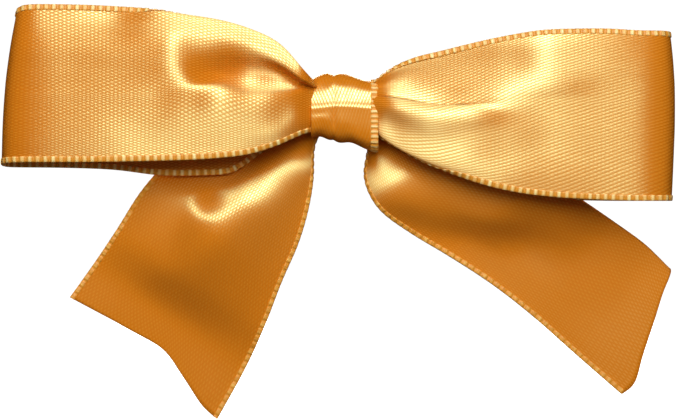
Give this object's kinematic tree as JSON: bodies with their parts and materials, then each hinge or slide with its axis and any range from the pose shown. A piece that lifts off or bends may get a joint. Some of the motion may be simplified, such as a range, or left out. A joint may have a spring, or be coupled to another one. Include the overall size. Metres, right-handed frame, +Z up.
{
  "type": "pre-made gift bow",
  "caption": "Satin ribbon gift bow with flattened side loops and hanging tails, cinched by a narrow ribbon knot, with a flat wire twist tie behind for fastening it to a gift.",
  "frame": {"origin": "middle of the flat back of the knot, where the bow lies against a gift", "axes": "+X to the right along the loops as seen from the face, +Z up with the tails hanging down, the face of the bow towards -Y and +Y out of its back"},
  "size_m": [0.0838, 0.0108, 0.0516],
  "materials": {
    "satin_ribbon": "gold satin, glossy along the weave, with a corded selvedge",
    "wrap_ribbon": "narrow gold satin of the same dye",
    "binding_thread": "matte spun polyester",
    "hot_glue": "cloudy hot-melt glue",
    "tie_plastic": "gold coated plastic film",
    "tie_steel": "annealed steel wire"
  },
  "bodies": {
    "knot": {"knot_wrap": "wrap_ribbon", "wrap_glue": "hot_glue", "gather_thread": "binding_thread", "loop_gather": "satin_ribbon", "tail_gather": "satin_ribbon", "tie_cover_centre": "tie_plastic", "tie_wire_centre": "tie_steel"},
    "left_loop": {"left_loop": "satin_ribbon"},
    "right_loop": {"right_loop": "satin_ribbon"},
    "left_tail": {"left_tail": "satin_ribbon"},
    "right_tail": {"right_tail": "satin_ribbon"},
    "left_tie_leg": {"tie_cover_left": "tie_plastic", "tie_wire_left": "tie_steel"},
    "right_tie_leg": {"tie_cover_right": "tie_plastic", "tie_wire_right": "tie_steel"}
  },
  "joints": [
    {"name": "left_loop_bend", "type": "hinge", "parent": "knot", "child": "left_loop", "pos_m": [-0.006, -0.0059, 0], "axis": [0, 0, 1], "range_deg": [0, 40], "stiffness_Nm_per_rad": 0.002},
    {"name": "right_loop_bend", "type": "hinge", "parent": "knot", "child": "right_loop", "pos_m": [0.006, -0.0059, 0], "axis": [0, 0, -1], "range_deg": [0, 40], "stiffness_Nm_per_rad": 0.002},
    {"name": "left_tail_swing", "type": "hinge", "parent": "knot", "child": "left_tail", "pos_m": [-0.0063, -0.0033, -0.0039], "axis": [0.8541, 0, -0.5201], "range_deg": [0, 45], "stiffness_Nm_per_rad": 0.002},
    {"name": "right_tail_swing", "type": "hinge", "parent": "knot", "child": "right_tail", "pos_m": [0.0061, -0.0033, -0.0039], "axis": [0.6259, 0, 0.7799], "range_deg": [0, 45], "stiffness_Nm_per_rad": 0.002},
    {"name": "left_tie_bend", "type": "hinge", "parent": "knot", "child": "left_tie_leg", "pos_m": [-0.005, -0.00155, 0.0012], "axis": [0, 0, -1], "range_deg": [0, 90]},
    {"name": "right_tie_bend", "type": "hinge", "parent": "knot", "child": "right_tie_leg", "pos_m": [0.005, -0.00155, 0.0012], "axis": [0, 0, 1], "range_deg": [0, 90]}
  ]
}
